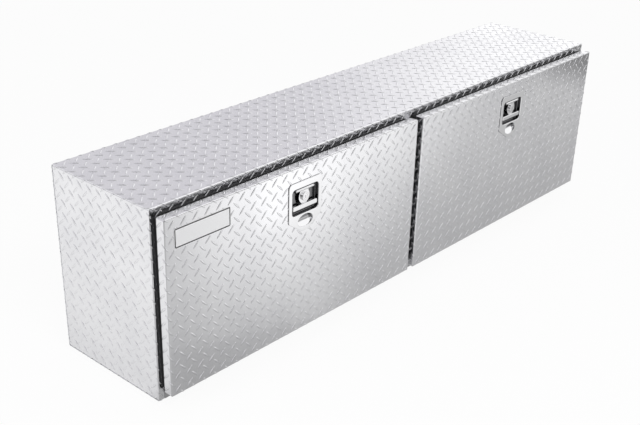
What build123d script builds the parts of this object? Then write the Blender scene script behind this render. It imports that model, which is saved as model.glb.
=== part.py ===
"""Truck tool box: a folded aluminium tread-plate body with two drop-down doors.

The body is one wrapped sheet closed by two end pans and a centre post.  Each door is
a folded pan on a continuous hinge, held shut by a spring-loaded slam latch and held
level, when open, by a pair of slotted stays.

Millimetres, +Z up, +X to the right and the doors facing -Y.  The origin is the centre
of the body's bottom face.
"""

import os
from math import atan2, cos, degrees, hypot, pi, sin, sqrt

from build123d import *

# ---- body ----------------------------------------------------------------------
LENGTH = 1829.0         # 72 in
DEPTH = 356.0           # 14 in, front flange to back
HEIGHT = 502.0          # 19 3/4 in
SHEET = 1.6             # tread plate, 0.063 in
BEND = 3.2              # outside radius of a fold in the sheet
PAN_CORNER = 3.6        # outside radius of a pan's welded corners
FRAME_FLANGE = 38.0     # width of the flange all round the two door openings
END_FLANGE = 16.0       # weld flange of an end pan inside the wrap
POST_WIDTH = 70.0
POST_DEPTH = 46.0

# ---- doors ---------------------------------------------------------------------
DOOR_END_INSET = 9.0    # end of the body to the edge of the door
DOOR_GAP = 23.0         # between the two doors
DOOR_BASE = 26.0        # height of the doors' lower edge
DOOR_TOP_GAP = 18.0     # doors' upper edge to the top of the body
DOOR_DEPTH = 25.4       # face of the door to the back of its rim
DOOR_LIP = 14.0         # outside of the door to the inner edge of its rim frame
SEAL_GAP = 12.0         # door rim to the body's flange
STIFFENER_OFFSET = 220.0
STIFFENER_CROWN = 46.0
STIFFENER_FOOT = 14.0
STIFFENER_DEPTH = 14.0
STIFFENER_END_GAP = 10.0    # stiffener to the outside of the door's upper and lower folds

# ---- door seal -----------------------------------------------------------------
SEAL_WIDTH = 12.0
SEAL_BASE = 2.5
BULB_WIDTH = 9.0
SEAL_CLEAR = 0.3        # the seal stops this short of the door's rim

# ---- continuous hinge ----------------------------------------------------------
LEAF = 1.5
PIN_R = 2.0
KNUCKLE_R = 3.6
KNUCKLE_LENGTH = 50.8
HINGE_END_INSET = 8.0   # door's side edge to the end of the hinge
HINGE_OFFSET = 0.5      # knuckles stand clear of the flange and of the door
BODY_LEAF_EDGE = 2.0    # body leaf's lower edge above the bottom of the box
RUN_CLEAR = 0.05        # radial clearance of a turning fit
KNUCKLE_CLEAR = 0.4     # end float between knuckles
RIVETS_PER_LEAF = 9
RIVET_R = 2.4
RIVET_HEAD_R = 4.8
RIVET_HEAD = 1.4

# ---- slam latch ----------------------------------------------------------------
LATCH_DROP = 38.0       # top of the door to the top of the latch plate
PLATE_WIDTH = 118.0
PLATE_SIDE = 104.0      # straight side of the plate
PLATE_HEIGHT = 136.0    # to the point of the V
PLATE_TIP = 22.0        # flat at the point of the V
PLATE_CORNER = 11.0
PLATE_THICK = 1.5
PRESSING = 1.2          # wall of the pressed cup
GASKET = 1.0
CUP_WIDTH = 94.0
CUP_HEIGHT = 70.0
CUP_CORNER = 10.0
CUP_MARGIN = 18.0       # top of the plate to the top of the cup
CUP_DEPTH = 12.5
CUP_EDGE = 2.0          # radius at the mouth and at the floor of the cup
PLATE_EDGE = 0.8        # radius round the face of the plate and at the mouth of the scoop
WELL_R = 26.0           # round well pressed in the floor of the cup
WELL_DEPTH = 4.0
SCOOP_WIDTH = 54.0
SCOOP_HEIGHT = 33.0
SCOOP_DEPTH = 10.0
SCOOP_RUNOUT = 0.8      # depth left at the lower edge of the scoop
SCOOP_STRIP = 4.0       # plate left between the cup and the finger scoop
CUTOUT_CLEAR = 1.0      # hole in the door skin around the cup and the scoop
STUD_R = 2.0
STUD_INSET = 7.0        # upper studs below the top of the plate
STUD_SPREAD = 42.0
NUT_FLATS = 7.0
NUT_THICK = 3.2

# ---- pull handle ---------------------------------------------------------------
HANDLE_PIVOT_DROP = 7.0     # top of the cup to the pivot
HANDLE_PIVOT_DEPTH = 6.5    # face of the plate to the pivot
HANDLE_PIN_R = 2.5
HANDLE_KNUCKLE_R = 4.5
HANDLE_KNUCKLE = 60.0
HANDLE_PLATE = 2.5
HUB_R = 19.0
HUB_DROP = 20.0         # pivot to the middle of the hub
STEM_WIDTH = 18.0
GRIP_WIDTH = 88.0
GRIP_HEIGHT = 13.0
GRIP_THICK = 7.0
GRIP_GAP = 12.0         # grip to the lower wall of the cup
TAIL_R = 3.0
TAIL_WIDTH = 16.0
TAIL_THICK = 5.0
HANDLE_SWING = 30.0     # degrees
EAR = 2.0

# ---- key lock ------------------------------------------------------------------
LOCK_FLANGE_R = 11.5
LOCK_R = 9.5
LOCK_PLUG_R = 7.5
LOCK_STAND = 5.0        # lock flange in front of the handle's hub
LOCK_LENGTH = 15.0      # behind the front of the hub
LOCK_HOLE_R = 15.0      # hole in the well that the lock swings through
KEYWAY = (1.4, 7.0)
PLUG_EDGE = 0.5         # chamfer round the face of the plug
CAM_REACH = 10.5
CAM_THICK = 2.0

# ---- bolt, its bracket and the striker -----------------------------------------
BRACKET = 2.0
BRACKET_WIDTH = 100.0
BRACKET_LIP = 14.0
BRACKET_OVERHANG = 3.0  # bracket beyond the studs' edge of the plate
BOLT_WIDTH = 22.0
BOLT_THICK = 8.0
BOLT_LENGTH = 66.0
BOLT_BEVEL = 6.0
BOLT_CLEAR = 0.3
LUG_HEIGHT = 10.0
LUG_WIDTH = 20.0
LUG_REACH = 15.0        # lug in front of the bolt
TAIL_CLEAR = 0.3        # tail to the top of the bolt's lug
TAIL_GAP = 3.6          # tail's round end to the bracket's web
GUIDE_HEIGHT = 12.0
SPRING_R = 3.2          # to the middle of the wire
SPRING_WIRE = 1.1
SPRING_FLATS = 8        # round wire, drawn with this many sides
SPRING_TURNS = 6
STRIKER = 3.0
STRIKER_WIDTH = 60.0
STRIKER_DROP = 12.0     # striker below the edge of the upper flange
STRIKER_HEIGHT = 42.0
STRIKER_CLEAR = 0.6     # bolt tip below the striker at rest

# ---- stays ---------------------------------------------------------------------
STAY_RADIUS = 222.0     # both stay pins lie this far from the hinge axis
STAY_DOOR_SETBACK = 12.0    # door pin in front of the hinge axis
STAY_REST_SPAN = 47.0   # between the two pins, door shut
STAY_WIDTH = 16.0
STAY_THICK = 3.0
STAY_PIN_R = 3.0
STAY_SLOT_CLEAR = 0.2   # each side of the pin in the slot
STAY_END_CLEAR = 0.5    # slot beyond the pin at either end of the travel
STAY_HEAD_R = 6.5
STAY_HEAD = 2.0
STAY_WASHER = 1.0       # bar to bracket
STAY_SIDE_CLEAR = 9.0   # bar to the edge of the opening
STAY_BRACKET = 2.5
STAY_EAR_R = 11.0
STAY_FOOT = 26.0
DOOR_SWING = 90.0       # degrees

# ---- places worked out from the sizes above ---------------------------------------
HALF_LENGTH = LENGTH / 2
FRONT = -DEPTH / 2
BACK = DEPTH / 2
DOOR_WIDTH = (LENGTH - 2 * DOOR_END_INSET - DOOR_GAP) / 2
DOOR_CENTRE = (DOOR_WIDTH + DOOR_GAP) / 2
DOOR_TOP = HEIGHT - DOOR_TOP_GAP
LIP_FACE = FRONT - SEAL_GAP
SKIN = LIP_FACE - DOOR_DEPTH            # outside face of the door
SKIN_BACK = SKIN + SHEET
HINGE_Y = FRONT - HINGE_OFFSET - KNUCKLE_R
HINGE_Z = DOOR_BASE - HINGE_OFFSET - KNUCKLE_R

PLATE_FACE = SKIN - GASKET - PLATE_THICK
PLATE_TOP = DOOR_TOP - LATCH_DROP
CUP_TOP = PLATE_TOP - CUP_MARGIN
CUP_BASE = CUP_TOP - CUP_HEIGHT
CUP_FLOOR = PLATE_FACE + CUP_DEPTH
PIVOT_Y = PLATE_FACE + HANDLE_PIVOT_DEPTH
PIVOT_Z = CUP_TOP - HANDLE_PIVOT_DROP
HUB_Z = PIVOT_Z - HUB_DROP
HUB_FACE = PIVOT_Y - HANDLE_PLATE / 2
SCOOP_TOP = CUP_BASE - SCOOP_STRIP
SCOOP_Z = SCOOP_TOP - SCOOP_HEIGHT / 2
UPPER_STUD_Z = PLATE_TOP - STUD_INSET
LOWER_STUD_Z = CUP_BASE - PRESSING - NUT_FLATS / 2 - 3.0

STRIKER_BASE = HEIGHT - FRAME_FLANGE - STRIKER_DROP
STRIKER_BACK = FRONT + SHEET + STRIKER
BOLT_FRONT = STRIKER_BACK + 0.9
BOLT_TOP = STRIKER_BASE - STRIKER_CLEAR
BOLT_BASE = BOLT_TOP - BOLT_LENGTH
LUG_TOP = PIVOT_Z - TAIL_R - TAIL_CLEAR
WEB_BACK = BOLT_FRONT - BOLT_CLEAR
TAIL_LENGTH = WEB_BACK - BRACKET - TAIL_GAP - TAIL_R - PIVOT_Y     # pivot to the tail's round end
BOLT_TRAVEL = TAIL_LENGTH * HANDLE_SWING * pi / 180
BRACKET_TOP = PLATE_TOP + BRACKET_OVERHANG
BRACKET_BASE = LOWER_STUD_Z - STUD_INSET - BRACKET_OVERHANG
SPRING_BASE = BRACKET_BASE + 8.0

STAY_BAR_INNER = HALF_LENGTH - FRAME_FLANGE - STAY_SIDE_CLEAR
POST_BAR_OUTER = POST_WIDTH / 2 + STAY_WASHER + STAY_THICK + 1.5

os.makedirs("parts", exist_ok=True)


def save(name, shape):
    """Write one node as parts/NAME.step."""
    shape.label = name
    export_step(shape, f"parts/{name}.step")


def block(x, y, z):
    """A plain block between the two ends given for each axis."""
    return Pos(sum(x) / 2, sum(y) / 2, sum(z) / 2) * Box(x[1] - x[0], y[1] - y[0], z[1] - z[0])


def pressed(sketch, front, back):
    """A sketch in X and Z, made solid between two Y places."""
    at_back = Plane(origin=(0, back, 0), x_dir=(1, 0, 0), z_dir=(0, -1, 0))
    return extrude(at_back * sketch, back - front)


def rod(radius, x, y, z):
    """A round bar along X."""
    return Pos(sum(x) / 2, y, z) * (Rot(0, 90, 0) * Cylinder(radius, x[1] - x[0]))


def folded(plane, points, thickness, radius):
    """A strip folded along the middle line that the points give."""
    return plane * trace(FilletPolyline(*points, radius=radius), thickness)


def both_ways(sketch, width):
    """A folded strip made solid, half of its width to either side."""
    return extrude(sketch, width / 2, both=True)


def pan(x, y, z, open_side, wall, radius):
    """A folded tray: a box with one side left out and its edges bent.

    open_side is "back" for a tray that opens towards +Y, or -1 or 1 for one that opens
    towards -X or +X.
    """
    across = Axis.Y if open_side == "back" else Axis.X

    def rounded(grow, reach):
        ends = [[x[0] + grow, x[1] - grow], [y[0] + grow, y[1] - grow], [z[0] + grow, z[1] - grow]]
        if open_side == "back":
            ends[1][1] += reach
        elif open_side == 1:
            ends[0][1] += reach
        else:
            ends[0][0] -= reach
        solid = block(*ends)
        solid = fillet(solid.edges().filter_by(across), PAN_CORNER - grow)
        web = solid.faces().sort_by(across)[-1 if open_side == -1 else 0]
        return fillet(web.edges(), radius - grow)

    return rounded(0, 0) - rounded(wall, 4 * wall)


# ---- body ------------------------------------------------------------------------

def wrap_shell():
    """One sheet folded round the top, back and bottom, with a flange at each front edge."""
    mid = SHEET / 2
    line = [(FRONT + mid, HEIGHT - FRAME_FLANGE), (FRONT + mid, HEIGHT - mid), (BACK - mid, HEIGHT - mid),
            (BACK - mid, mid), (FRONT + mid, mid), (FRONT + mid, FRAME_FLANGE)]
    return both_ways(folded(Plane.YZ, line, SHEET, BEND - mid), LENGTH)


def end_panel(side):
    """A pan that closes one end: narrow weld flanges, and a wide one beside the door."""
    inside = HALF_LENGTH - FRAME_FLANGE
    x = sorted((side * inside, side * HALF_LENGTH))
    y = (FRONT, BACK - SHEET)
    z = (SHEET, HEIGHT - SHEET)
    shell = pan(x, y, z, -side, SHEET, BEND)
    weld = sorted((side * inside, side * (HALF_LENGTH - END_FLANGE)))
    shell -= block(weld, (FRONT + SHEET, BACK), (0, HEIGHT))
    for low, high in ((0, FRAME_FLANGE), (HEIGHT - FRAME_FLANGE, HEIGHT)):
        shell -= block(x, (FRONT, FRONT + SHEET), (low, high))
    for low, high in ((0, BEND), (HEIGHT - BEND, HEIGHT)):
        shell -= block(x, (FRONT, FRONT + BEND), (low, high))
    return shell


def centre_post():
    """A channel that stands between the two openings and carries the inner stays."""
    half = (POST_WIDTH - SHEET) / 2
    line = [(-half, FRONT + POST_DEPTH), (-half, FRONT + SHEET / 2),
            (half, FRONT + SHEET / 2), (half, FRONT + POST_DEPTH)]
    channel = extrude(folded(Plane.XY, line, SHEET, BEND - SHEET / 2), HEIGHT - 2 * FRAME_FLANGE)
    return Pos(0, 0, FRAME_FLANGE) * channel


def seal(centre):
    """A bulb seal round one opening, stuck to the flange behind the door's rim."""
    middle_z = (DOOR_BASE + DOOR_TOP) / 2
    run_width = DOOR_WIDTH - SEAL_WIDTH - 4
    run_height = DOOR_TOP - DOOR_BASE - SEAL_WIDTH - 4

    def ring(width, thickness):
        outer = RectangleRounded(run_width + width, run_height + width, 10 + width / 2)
        inner = RectangleRounded(run_width - width, run_height - width, 10 - width / 2)
        return pressed(Pos(centre, middle_z) * (outer - inner), FRONT - thickness, FRONT)

    bulb = ring(BULB_WIDTH, SEAL_GAP - SEAL_CLEAR)
    crown = bulb.faces().sort_by(Axis.Y)[0].edges()
    return ring(SEAL_WIDTH, SEAL_BASE) + fillet(crown, BULB_WIDTH / 2 - 0.6)


def striker(centre):
    """The plate behind the upper flange that the bolt springs up behind."""
    outline = RectangleRounded(STRIKER_WIDTH, STRIKER_HEIGHT, 4)
    middle = STRIKER_BASE + STRIKER_HEIGHT / 2
    return pressed(Pos(centre, middle) * outline, FRONT + SHEET, STRIKER_BACK)


# ---- continuous hinge ------------------------------------------------------------

def hinge_segments(centre, of_door):
    """X ends of the knuckles that belong to the door, or to the body."""
    length = DOOR_WIDTH - 2 * HINGE_END_INSET
    count = int(length / KNUCKLE_LENGTH) // 2 * 2 + 1
    step = length / count
    start = centre - length / 2
    first = 1 if of_door else 0
    return [(start + i * step, start + (i + 1) * step) for i in range(first, count, 2)]


def hinge_ends(centre):
    """X ends of one whole hinge."""
    length = DOOR_WIDTH - 2 * HINGE_END_INSET
    return (centre - length / 2, centre + length / 2)


def knuckles(centre, of_door):
    """The rolled knuckles of one leaf, still solid."""
    gap = KNUCKLE_CLEAR / 2
    return [rod(KNUCKLE_R, (a + gap, b - gap), HINGE_Y, HINGE_Z) for a, b in hinge_segments(centre, of_door)]


def notches(centre, of_door):
    """Room that a leaf leaves for the other leaf's knuckles."""
    room = KNUCKLE_R + HINGE_OFFSET
    gap = KNUCKLE_CLEAR / 2
    return [block((a - gap, b + gap), (HINGE_Y - room, HINGE_Y + room), (HINGE_Z - room, HINGE_Z + room))
            for a, b in hinge_segments(centre, not of_door)]


def rivet_places(centre):
    """X of each rivet along one leaf."""
    a, b = hinge_ends(centre)
    step = (b - a) / RIVETS_PER_LEAF
    return [a + (i + 0.5) * step for i in range(RIVETS_PER_LEAF)]


BODY_RIVET_Z = (BODY_LEAF_EDGE + HINGE_Z - KNUCKLE_R) / 2
DOOR_RIVET_Y = SKIN + DOOR_DEPTH / 2


def body_leaf(centre):
    """The upright leaf, riveted to the body's lower flange."""
    leaf = block(hinge_ends(centre), (FRONT - LEAF, FRONT), (BODY_LEAF_EDGE, HINGE_Z))
    leaf = leaf - notches(centre, False) + knuckles(centre, False)
    leaf -= rod(PIN_R, hinge_ends(centre), HINGE_Y, HINGE_Z)
    return leaf - body_rivet_holes(centre)


def door_leaf(centre):
    """The leaf that lies under the door's lower fold."""
    leaf = block(hinge_ends(centre), (SKIN + BEND, HINGE_Y), (DOOR_BASE - LEAF, DOOR_BASE))
    leaf = leaf - notches(centre, True) + knuckles(centre, True)
    leaf -= rod(PIN_R + RUN_CLEAR, hinge_ends(centre), HINGE_Y, HINGE_Z)
    return leaf - door_rivet_holes(centre)


def body_rivet_holes(centre):
    """Holes along Y through the body leaf and the flange behind it."""
    return [Pos(x, FRONT, BODY_RIVET_Z) * (Rot(90, 0, 0) * Cylinder(RIVET_R, 4 * SHEET))
            for x in rivet_places(centre)]


def door_rivet_holes(centre):
    """Holes along Z through the door leaf and the fold above it."""
    return [Pos(x, DOOR_RIVET_Y, DOOR_BASE) * Cylinder(RIVET_R, 4 * SHEET) for x in rivet_places(centre)]


def rivet(grip):
    """A blind rivet along Z: its head below the joint, its set end above."""
    head = Cylinder(RIVET_HEAD_R, RIVET_HEAD, align=(Align.CENTER, Align.CENTER, Align.MAX))
    head = chamfer(head.edges().sort_by(Axis.Z)[0], RIVET_HEAD * 0.6)
    shank = Cylinder(RIVET_R, grip, align=(Align.CENTER, Align.CENTER, Align.MIN))
    set_end = Cylinder(RIVET_R * 1.45, 2.2, align=(Align.CENTER, Align.CENTER, Align.MIN))
    return head + shank + Pos(0, 0, grip) * set_end


def body_rivets():
    """All the rivets of the two body leaves."""
    one = Rot(-90, 0, 0) * rivet(LEAF + SHEET)
    return Compound([Pos(x, FRONT - LEAF, BODY_RIVET_Z) * one
                     for centre in (-DOOR_CENTRE, DOOR_CENTRE) for x in rivet_places(centre)])


def door_rivets(centre):
    """The rivets of one door leaf."""
    one = rivet(LEAF + SHEET)
    return Compound([Pos(x, DOOR_RIVET_Y, DOOR_BASE - LEAF) * one for x in rivet_places(centre)])


# ---- latch outlines, in X and Z ----------------------------------------------------

def plate_outline():
    """The latch plate: round upper corners, and a V at the bottom."""
    half = PLATE_WIDTH / 2
    corners = [(-half, PLATE_TOP), (half, PLATE_TOP), (half, PLATE_TOP - PLATE_SIDE),
               (PLATE_TIP / 2, PLATE_TOP - PLATE_HEIGHT), (-PLATE_TIP / 2, PLATE_TOP - PLATE_HEIGHT),
               (-half, PLATE_TOP - PLATE_SIDE)]
    shape = make_face(Polyline(*corners, close=True))
    upper = shape.vertices().sort_by(Axis.Y)[-2:]
    shape = fillet(upper, PLATE_CORNER)
    lower = [v for v in shape.vertices() if v.Y < PLATE_TOP - PLATE_SIDE + 1]
    return fillet(lower, PLATE_CORNER * 0.8)


def cup_outline(grow=0.0):
    """The mouth of the cup, or the outside of its wall."""
    mouth = RectangleRounded(CUP_WIDTH + 2 * grow, CUP_HEIGHT + 2 * grow, CUP_CORNER + grow)
    return Pos(0, (CUP_TOP + CUP_BASE) / 2) * mouth


def scoop_outline(grow=0.0):
    """The mouth of the finger scoop in the V of the plate."""
    return Pos(0, SCOOP_Z) * Ellipse(SCOOP_WIDTH / 2 + grow, SCOOP_HEIGHT / 2 + grow)


def scoop_solid(grow):
    """The hollow of the scoop: deep at the top, running out to nothing at the bottom."""
    fall = SCOOP_DEPTH - SCOOP_RUNOUT
    curve = (SCOOP_HEIGHT ** 2 + fall ** 2) / (2 * fall)
    prism = pressed(scoop_outline(grow), PLATE_FACE, PLATE_FACE + SCOOP_DEPTH + 2 * PRESSING)
    centre_y = PLATE_FACE + SCOOP_DEPTH - curve
    return prism & rod(curve + grow, (-PLATE_WIDTH, PLATE_WIDTH), centre_y, SCOOP_TOP)


def stud_places():
    """X and Z of the four studs on the back of the plate."""
    return [(side * STUD_SPREAD, z) for side in (-1, 1) for z in (UPPER_STUD_Z, LOWER_STUD_Z)]


def stud_holes(radius, front, back):
    """A hole or a stud at each stud place."""
    return [pressed(Pos(x, z) * Circle(radius), front, back) for x, z in stud_places()]


def latch_cutout():
    """The hole in the skin and in the gasket that the cup and the scoop go through."""
    neck = Pos(0, (CUP_BASE + SCOOP_Z) / 2) * Rectangle(SCOOP_WIDTH, CUP_BASE - SCOOP_Z)
    return cup_outline(PRESSING + CUTOUT_CLEAR) + scoop_outline(PRESSING + CUTOUT_CLEAR) + neck


def at_door(centre, shape):
    """A piece drawn at the middle of a door, moved to that door."""
    return Pos(centre, 0, 0) * shape


# ---- door ------------------------------------------------------------------------

def door_pan():
    """The door's tray, skin and folds together, at the middle of a door."""
    half = DOOR_WIDTH / 2
    return pan((-half, half), (SKIN, LIP_FACE), (DOOR_BASE, DOOR_TOP), "back", SHEET, BEND)


def behind_the_bend():
    """All that lies behind the rolled edge of the door's skin."""
    return block((-DOOR_WIDTH, DOOR_WIDTH), (SKIN + BEND, LIP_FACE), (0, HEIGHT))


def door_panel(centre):
    """The skin of the door, its four edges rolled back to meet the edge band."""
    shell = door_pan() - behind_the_bend()
    shell -= pressed(latch_cutout(), SKIN, SKIN_BACK)
    return at_door(centre, shell - stud_holes(STUD_R, SKIN, SKIN_BACK))


def door_edge(centre):
    """The band round the door's four edges, butt-welded to the skin."""
    return at_door(centre, door_pan() & behind_the_bend()) - door_rivet_holes(centre)


def door_rim(centre):
    """The flat frame welded inside the edge band, whose face meets the seal."""
    height = DOOR_TOP - DOOR_BASE
    outer = RectangleRounded(DOOR_WIDTH - 2 * SHEET, height - 2 * SHEET, PAN_CORNER - SHEET)
    window = Rectangle(DOOR_WIDTH - 2 * DOOR_LIP, height - 2 * DOOR_LIP)
    return pressed(Pos(centre, (DOOR_BASE + DOOR_TOP) / 2) * (outer - window), LIP_FACE - SHEET, LIP_FACE)


def door_stiffeners(centre):
    """Two upright hat sections, welded to the back of the skin."""
    mid = SHEET / 2
    crown = (STIFFENER_CROWN - SHEET) / 2
    foot = STIFFENER_CROWN / 2 + STIFFENER_FOOT
    near = SKIN_BACK + mid
    far = SKIN_BACK + STIFFENER_DEPTH
    line = [(-foot, near), (-crown, near), (-crown, far), (crown, far), (crown, near), (foot, near)]
    base = DOOR_BASE + STIFFENER_END_GAP
    hat = extrude(folded(Plane.XY, line, SHEET, BEND - mid), DOOR_TOP - STIFFENER_END_GAP - base)
    return Compound([Pos(centre + side * STIFFENER_OFFSET, 0, base) * hat for side in (-1, 1)])


# ---- latch -----------------------------------------------------------------------

def latch_gasket(centre):
    """The foam gasket between the plate and the skin."""
    sheet = pressed(plate_outline() - latch_cutout(), SKIN - GASKET, SKIN)
    return at_door(centre, sheet - stud_holes(STUD_R, SKIN - GASKET, SKIN))


def latch_dish(centre):
    """The pressed steel plate with its cup, round well, finger scoop, ears and studs."""
    plate = pressed(plate_outline(), PLATE_FACE, PLATE_FACE + PLATE_THICK)
    outer = pressed(cup_outline(PRESSING), PLATE_FACE, CUP_FLOOR + PRESSING)
    outer = fillet(outer.faces().sort_by(Axis.Y)[-1].edges(), CUP_EDGE + PRESSING)
    inner = pressed(cup_outline(), PLATE_FACE, CUP_FLOOR)
    inner = fillet(inner.faces().sort_by(Axis.Y)[-1].edges(), CUP_EDGE)
    well = Pos(0, HUB_Z) * Circle(WELL_R)
    outer_well = Pos(0, HUB_Z) * Circle(WELL_R + PRESSING)
    dish = plate + outer + scoop_solid(PRESSING)
    dish += pressed(outer_well, CUP_FLOOR, CUP_FLOOR + WELL_DEPTH + PRESSING)
    dish = dish - inner - pressed(well, CUP_FLOOR - CUP_EDGE, CUP_FLOOR + WELL_DEPTH) - scoop_solid(0)
    dish = rounded_edge(dish, cup_outline(), CUP_EDGE)
    dish = rounded_edge(dish, scoop_outline(), PLATE_EDGE)
    dish = rounded_edge(dish, plate_outline(), PLATE_EDGE)
    lock_hole = Pos(0, HUB_Z) * Circle(LOCK_HOLE_R)
    dish -= pressed(lock_hole, CUP_FLOOR, CUP_FLOOR + WELL_DEPTH + 2 * PRESSING)
    tail_reach = TAIL_THICK + CUP_DEPTH / 2
    tail_slot = (PIVOT_Z - tail_reach, PIVOT_Z + TAIL_THICK)
    dish -= block((-TAIL_WIDTH / 2 - 2, TAIL_WIDTH / 2 + 2), (CUP_FLOOR - 1, CUP_FLOOR + 9), tail_slot)
    dish += [handle_ear(side) for side in (-1, 1)]
    dish += stud_holes(STUD_R, PLATE_FACE + PLATE_THICK, SKIN_BACK + BRACKET + NUT_THICK + 2)
    return at_door(centre, dish)


def rounded_edge(dish, outline, radius):
    """Rounds the edge that an outline makes in the face of the plate."""
    at_face = Plane(origin=(0, PLATE_FACE, 0), x_dir=(1, 0, 0), z_dir=(0, -1, 0))
    marks = (at_face * outline).edges()
    near = [e for e in dish.edges() if any(mark.distance_to(e.position_at(0.5)) < 0.01 for mark in marks)]
    return fillet(near, radius)


def handle_ear(side):
    """One of the two ears, lanced up from the floor of the cup, that hold the handle's pin."""
    round_end = Circle(HANDLE_KNUCKLE_R)
    root = Pos((CUP_FLOOR - PIVOT_Y) / 2, 0) * Rectangle(CUP_FLOOR - PIVOT_Y, 2 * HANDLE_KNUCKLE_R)
    shape = round_end + root - Circle(HANDLE_PIN_R)
    gap = HANDLE_KNUCKLE / 2 + 0.5
    start = gap if side == 1 else -gap - EAR
    return Pos(start, PIVOT_Y, PIVOT_Z) * extrude(Plane.YZ * shape, EAR)


def handle_pin(centre):
    """The pin that the pull handle swings on."""
    reach = HANDLE_KNUCKLE / 2 + EAR + 1.5
    return rod(HANDLE_PIN_R, (centre - reach, centre + reach), PIVOT_Y, PIVOT_Z)


def pull_handle(centre):
    """The handle: hinge barrel, round hub, stem, rolled grip bar and the tail behind."""
    half = HANDLE_KNUCKLE / 2
    grip_base = CUP_BASE + GRIP_GAP
    grip_middle = grip_base + GRIP_HEIGHT / 2
    neck = Pos(0, (PIVOT_Z + HUB_Z) / 2) * Rectangle(2 * HUB_R * 0.8, PIVOT_Z - HUB_Z)
    stem = Pos(0, (HUB_Z + grip_middle) / 2) * Rectangle(STEM_WIDTH, HUB_Z - grip_middle)
    face = Pos(0, HUB_Z) * Circle(HUB_R) + neck + stem
    handle = pressed(face, HUB_FACE, HUB_FACE + HANDLE_PLATE)
    grip = pressed(Pos(0, grip_middle) * RectangleRounded(GRIP_WIDTH, GRIP_HEIGHT, 4),
                   HUB_FACE + HANDLE_PLATE - GRIP_THICK, HUB_FACE + HANDLE_PLATE)
    grip = fillet(grip.faces().sort_by(Axis.Y)[0].edges(), 2.5)
    handle += grip
    handle += rod(HANDLE_KNUCKLE_R, (-half, half), PIVOT_Y, PIVOT_Z)
    tail = Pos(TAIL_LENGTH / 2, 0) * Rectangle(TAIL_LENGTH, TAIL_THICK) + Pos(TAIL_LENGTH, 0) * Circle(TAIL_R)
    handle += Pos(0, PIVOT_Y, PIVOT_Z) * both_ways(Plane.YZ * tail, TAIL_WIDTH)
    handle -= rod(HANDLE_PIN_R + RUN_CLEAR, (-half, half), PIVOT_Y, PIVOT_Z)
    handle -= pressed(Pos(0, HUB_Z) * Circle(LOCK_R), HUB_FACE, HUB_FACE + HANDLE_PLATE)
    return at_door(centre, handle)


def lock_barrel(centre):
    """The lock's body, seated in the hub."""
    back = HUB_FACE + LOCK_LENGTH
    barrel = pressed(Pos(0, HUB_Z) * Circle(LOCK_R), HUB_FACE, back)
    flange = pressed(Pos(0, HUB_Z) * Circle(LOCK_FLANGE_R), HUB_FACE - LOCK_STAND, HUB_FACE)
    flange = fillet(flange.faces().sort_by(Axis.Y)[0].edges(), 1.2)
    bore = pressed(Pos(0, HUB_Z) * Circle(LOCK_PLUG_R + RUN_CLEAR), HUB_FACE - LOCK_STAND, back)
    return at_door(centre, barrel + flange - bore)


def key_plug(centre):
    """The plug that the key turns, with its keyway."""
    plug = pressed(Pos(0, HUB_Z) * Circle(LOCK_PLUG_R), HUB_FACE - LOCK_STAND, HUB_FACE + LOCK_LENGTH + 1)
    plug = chamfer(plug.edges().sort_by(Axis.Y)[0], PLUG_EDGE)
    slot = pressed(Pos(0, HUB_Z) * Rectangle(*KEYWAY), HUB_FACE - LOCK_STAND, HUB_FACE - LOCK_STAND + 5)
    return at_door(centre, plug - slot)


def lock_cam(centre):
    """The cam on the back of the plug."""
    arm = Pos(0, HUB_Z - CAM_REACH / 2) * RectangleRounded(2 * LOCK_PLUG_R - 5, CAM_REACH, 3)
    front = HUB_FACE + LOCK_LENGTH + 1
    return at_door(centre, pressed(arm, front, front + CAM_THICK))


def latch_bracket(centre):
    """The steel bracket that clamps the latch and guides the bolt."""
    mid = BRACKET / 2
    foot = SKIN_BACK + mid
    web = WEB_BACK - mid
    line = [(foot, BRACKET_TOP - BRACKET_LIP), (foot, BRACKET_TOP - mid), (web, BRACKET_TOP - mid),
            (web, BRACKET_BASE + mid), (foot, BRACKET_BASE + mid), (foot, BRACKET_BASE + BRACKET_LIP)]
    frame = both_ways(folded(Plane.YZ, line, BRACKET, 2 * BRACKET), BRACKET_WIDTH)
    frame -= pressed(scoop_outline(PRESSING + CUTOUT_CLEAR), SKIN, SKIN_BACK + 4 * BRACKET)
    frame -= stud_holes(STUD_R, SKIN, SKIN_BACK + 4 * BRACKET)
    lug_slot = (LUG_TOP - LUG_HEIGHT - BOLT_TRAVEL - 3, LUG_TOP + 3)
    frame -= block((-LUG_WIDTH / 2 - 1, LUG_WIDTH / 2 + 1), (WEB_BACK - 2 * BRACKET, WEB_BACK + 1), lug_slot)
    for base in (BRACKET_TOP - GUIDE_HEIGHT - 1, BOLT_BASE + 6):
        frame += Pos(0, 0, base) * bolt_guide()
    seat_back = BOLT_FRONT + BOLT_THICK
    return at_door(centre, frame + block((-7, 7), (WEB_BACK, seat_back), (SPRING_BASE - BRACKET, SPRING_BASE)))


def bolt_guide():
    """A strap folded round the bolt."""
    mid = BRACKET / 2
    side = BOLT_WIDTH / 2 + BOLT_CLEAR + mid
    back = BOLT_FRONT + BOLT_THICK + BOLT_CLEAR + mid
    foot = side + 9
    line = [(-foot, WEB_BACK + mid), (-side, WEB_BACK + mid), (-side, back),
            (side, back), (side, WEB_BACK + mid), (foot, WEB_BACK + mid)]
    return extrude(folded(Plane.XY, line, BRACKET, BRACKET * 0.8), GUIDE_HEIGHT)


def latch_nuts(centre):
    """The four nuts on the latch's studs."""
    front = SKIN_BACK + BRACKET
    flats = NUT_FLATS / sqrt(3)
    return Compound([pressed(Pos(centre + x, z) * (RegularPolygon(flats, 6) - Circle(STUD_R)), front,
                             front + NUT_THICK) for x, z in stud_places()])


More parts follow.
